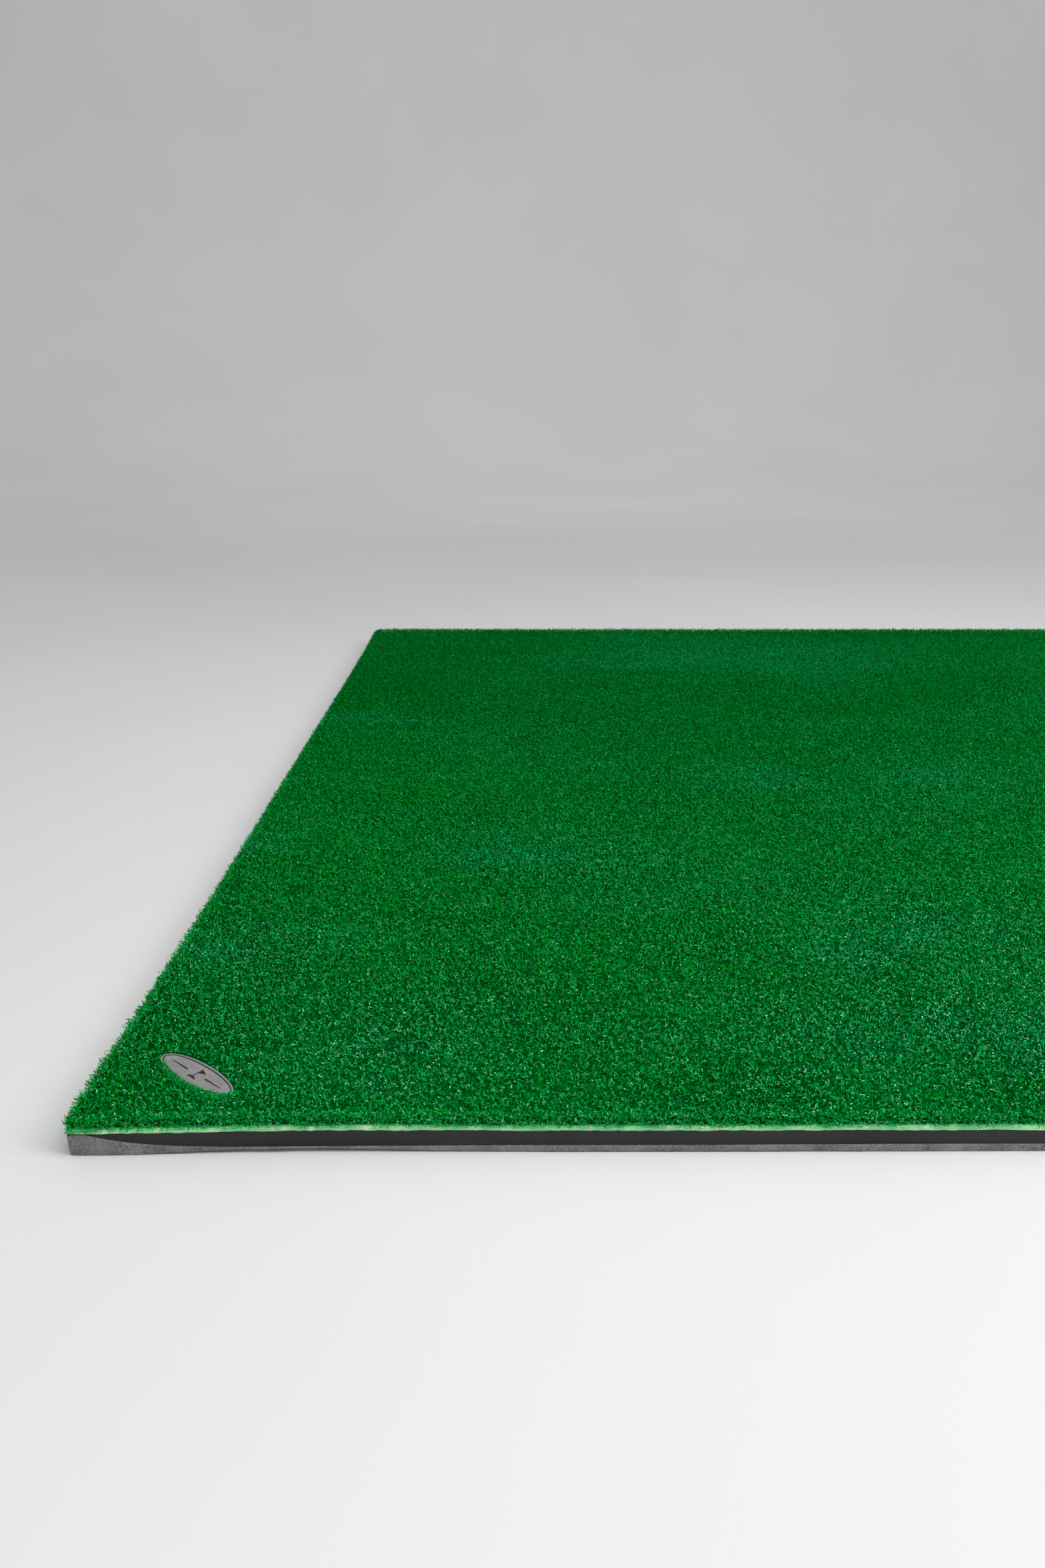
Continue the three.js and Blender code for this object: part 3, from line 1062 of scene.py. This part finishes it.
class HITMAT_OT_badge(bpy.types.Operator):
    """Build the badge and its marks"""

    bl_idname = "hitmat.badge"
    bl_label = "Badge"

    def execute(self, context):
        settings = context.scene.hitmat_badge
        plate_finish, ink = badge_plate_finish(settings), badge_ink_finish(settings)
        plate = add_mesh("badge_plate_face", *badge_plate_mesh(), [plate_finish])
        fit_to_frame(on_badge(plate, settings.tilt), "badge_plate")
        pad = add_mesh("badge_glue_layer", *glue_pad_mesh(), [glue_pad_finish()])
        fit_to_frame(on_badge(pad, settings.tilt), "badge_glue_pad")
        line = add_mesh("badge_border_ring", *border_line_mesh(), [ink])
        fit_to_frame(on_badge(line, settings.tilt), "badge_border_line")
        marks = (
            ("badge_flag_print", FLAG, "badge_flag_mark"),
            ("badge_bar_right_print", BAR, "badge_bar_right"),
            ("badge_bar_left_print", [(-x, y) for x, y in reversed(BAR)], "badge_bar_left"),
        )
        for name, outline, node in marks:
            mark = add_mesh(name, *raised_mark_mesh(outline), [ink], smooth=False)
            fit_to_frame(on_badge(mark, settings.tilt), node)
        return {"FINISHED"}


def studio_floor():
    """A round floor that curves up into a wall, as one sheet of pale paper."""
    radius, curve, wall = 4.4, 2.2, 3.2
    steps = 96
    turns = np.linspace(0, math.pi / 2, 17)[1:]
    profile = [(r, 0.0) for r in (0.02, 0.6, 1.5, 3.0, radius)]
    profile += [(radius + curve * math.sin(a), curve * (1 - math.cos(a))) for a in turns]
    profile += [(radius + curve, curve + wall)]
    t = np.linspace(0, 2 * math.pi, steps, endpoint=False)
    rings = [np.column_stack([r * np.cos(t), r * np.sin(t), np.full(steps, z)]) for r, z in profile]
    index = np.arange(steps)
    after = (index + 1) % steps
    faces = [
        np.column_stack([index, after, after + steps, index + steps])[:, ::-1] + k * steps
        for k in range(len(rings) - 1)
    ]
    faces.append(index[None, :])
    paper = Finish("studio_floor", Roughness=0.75)
    cloud = paper.noise(1.3, 3).between(0.3, 0.7)
    paper.feed("Base Color", paper.mix(cloud, (0.78, 0.78, 0.78), (0.81, 0.81, 0.81)))
    return add_mesh("studio_floor", np.concatenate(rings), faces, [paper.material])


def add_light(name, place, target, size, power):
    """A soft rectangular light that faces target."""
    data = bpy.data.lights.new(name, "AREA")
    data.shape = "RECTANGLE"
    data.size, data.size_y = size
    data.energy = power
    light = bpy.data.objects.new(name, data)
    light.location = place
    light.rotation_euler = (Vector(target) - Vector(place)).to_track_quat("-Z", "Y").to_euler()
    light.visible_camera = False
    bpy.context.scene.collection.objects.link(light)


def add_air(strength):
    """White light from all round."""
    world = bpy.data.worlds.new("studio_air")
    world.use_nodes = True
    background = world.node_tree.nodes["Background"]
    background.inputs["Color"].default_value = (1, 1, 1, 1)
    background.inputs["Strength"].default_value = strength
    bpy.context.scene.world = world


def add_camera():
    """The scene's camera: low, in front of the badge's corner and looking down past it."""
    from_left, from_front, over_floor = 0.2764, 0.559, 0.4357
    look_down = 19.26
    data = bpy.data.cameras.new("camera")
    data.sensor_width = 36
    data.lens = 25.26
    data.clip_start = 0.01
    camera = bpy.data.objects.new("camera", data)
    camera.location = (LEFT + from_left, FRONT - from_front, FOAM_LOW.z + over_floor)
    camera.rotation_euler = (math.radians(90 - look_down), 0, 0)
    bpy.context.scene.collection.objects.link(camera)
    bpy.context.scene.camera = camera


class HITMAT_OT_stage(bpy.types.Operator):
    """Build the studio: a pale floor that curves up all round, soft lights and the camera"""

    bl_idname = "hitmat.stage"
    bl_label = "Studio"

    def execute(self, context):
        floor = studio_floor()
        floor.location.z = FOAM_LOW.z - 0.05 * MM
        add_light("key_light", (0.3, -1.25, 2.1), (0.3, -1.25, 0), (1.7, 1.7), 24.5)
        add_light("side_light", (1.7, -1.2, 1.7), (-0.2, -0.9, 0), (1.2, 1.2), 29)
        add_light("backdrop_light", (0.0, 3.0, 2.6), (0, 6.5, 1.2), (3.0, 1.0), 16.5)
        add_air(0.57)
        add_camera()
        context.scene.view_settings.view_transform = "Standard"
        return {"FINISHED"}


class HITMAT_PT_panel(bpy.types.Panel):
    """Lists the mat's pieces and their settings"""

    bl_idname = "HITMAT_PT_panel"
    bl_label = "Hitting mat"
    bl_space_type = "VIEW_3D"
    bl_region_type = "UI"
    bl_category = "Hitting mat"

    def draw(self, context):
        layout = self.layout
        for operator in OPERATORS:
            layout.operator(operator.bl_idname)
        for group in (context.scene.hitmat_turf, context.scene.hitmat_foam, context.scene.hitmat_badge):
            box = layout.box()
            for name in group.__annotations__:
                box.prop(group, name)


OPERATORS = (HITMAT_OT_stage, HITMAT_OT_foam, HITMAT_OT_cloth, HITMAT_OT_badge, HITMAT_OT_pile)
CLASSES = (TurfSettings, FoamSettings, BadgeSettings, *OPERATORS, HITMAT_PT_panel)


def register():
    for cls in CLASSES:
        bpy.utils.register_class(cls)
    bpy.types.Scene.hitmat_turf = bpy.props.PointerProperty(type=TurfSettings)
    bpy.types.Scene.hitmat_foam = bpy.props.PointerProperty(type=FoamSettings)
    bpy.types.Scene.hitmat_badge = bpy.props.PointerProperty(type=BadgeSettings)


def unregister():
    del bpy.types.Scene.hitmat_badge
    del bpy.types.Scene.hitmat_foam
    del bpy.types.Scene.hitmat_turf
    for cls in reversed(CLASSES):
        bpy.utils.unregister_class(cls)


def main():
    register()
    bpy.ops.hitmat.stage()
    bpy.ops.hitmat.foam()
    bpy.ops.hitmat.cloth()
    bpy.ops.hitmat.badge()
    bpy.ops.hitmat.pile()


if __name__ == "__main__":
    main()
